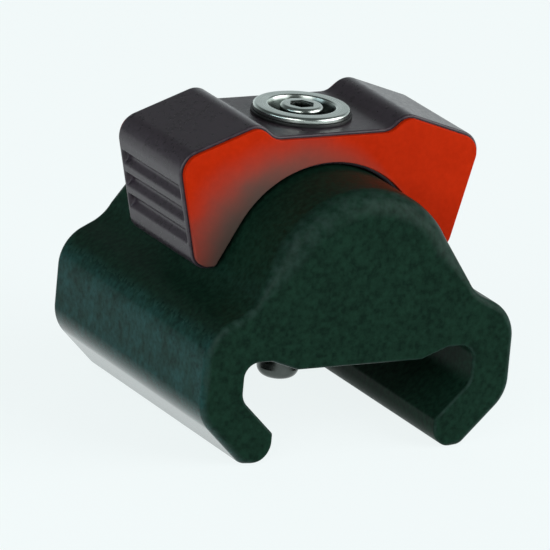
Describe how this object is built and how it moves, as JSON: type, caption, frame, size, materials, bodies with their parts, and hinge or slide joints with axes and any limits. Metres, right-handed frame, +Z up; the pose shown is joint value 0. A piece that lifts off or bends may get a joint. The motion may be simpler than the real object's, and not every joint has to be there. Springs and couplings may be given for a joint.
{
  "type": "track plunger stop",
  "caption": "Short channel slider for a T-shaped deck track, with a spring-loaded plunger that drops into the track and a red-faced saddle knob that lifts it out.",
  "frame": {"origin": "under the middle of the slider, level with the soles of its two lips", "axes": "+X across the track, +Y along the track, +Z up, away from the track; the plunger's axis is the Z axis"},
  "size_m": [0.0448, 0.042, 0.041],
  "materials": {
    "body_black": "satin black anodised, greenish",
    "knob_black": "satin black anodised, purplish",
    "plate_red": "semi-gloss moulded red",
    "stainless": "turned and polished stainless steel",
    "spring_steel": "drawn stainless spring steel",
    "bush_bronze": "turned bronze",
    "bush_acetal": "turned natural acetal",
    "seat_nylon": "black nylon"
  },
  "bodies": {
    "slider": {"slider_body": "body_black", "guide_bush": "bush_bronze", "stem_bush": "bush_acetal", "return_spring": "spring_steel"},
    "plunger": {"plunger_rod": "stainless", "lower_clip": "spring_steel", "spring_washer": "stainless", "knob": "knob_black", "front_plate": "plate_red", "rear_plate": "plate_red", "seat_washer": "seat_nylon", "cup_washer": "stainless", "knob_screw": "stainless"}
  },
  "joints": [
    {"name": "knob_lift", "type": "slide", "parent": "slider", "child": "plunger", "axis": [0, 0, 1], "range_m": [0, 0.0083], "stiffness_N_per_m": 900, "springref_m": -0.007, "deforming": ["return_spring"]}
  ]
}
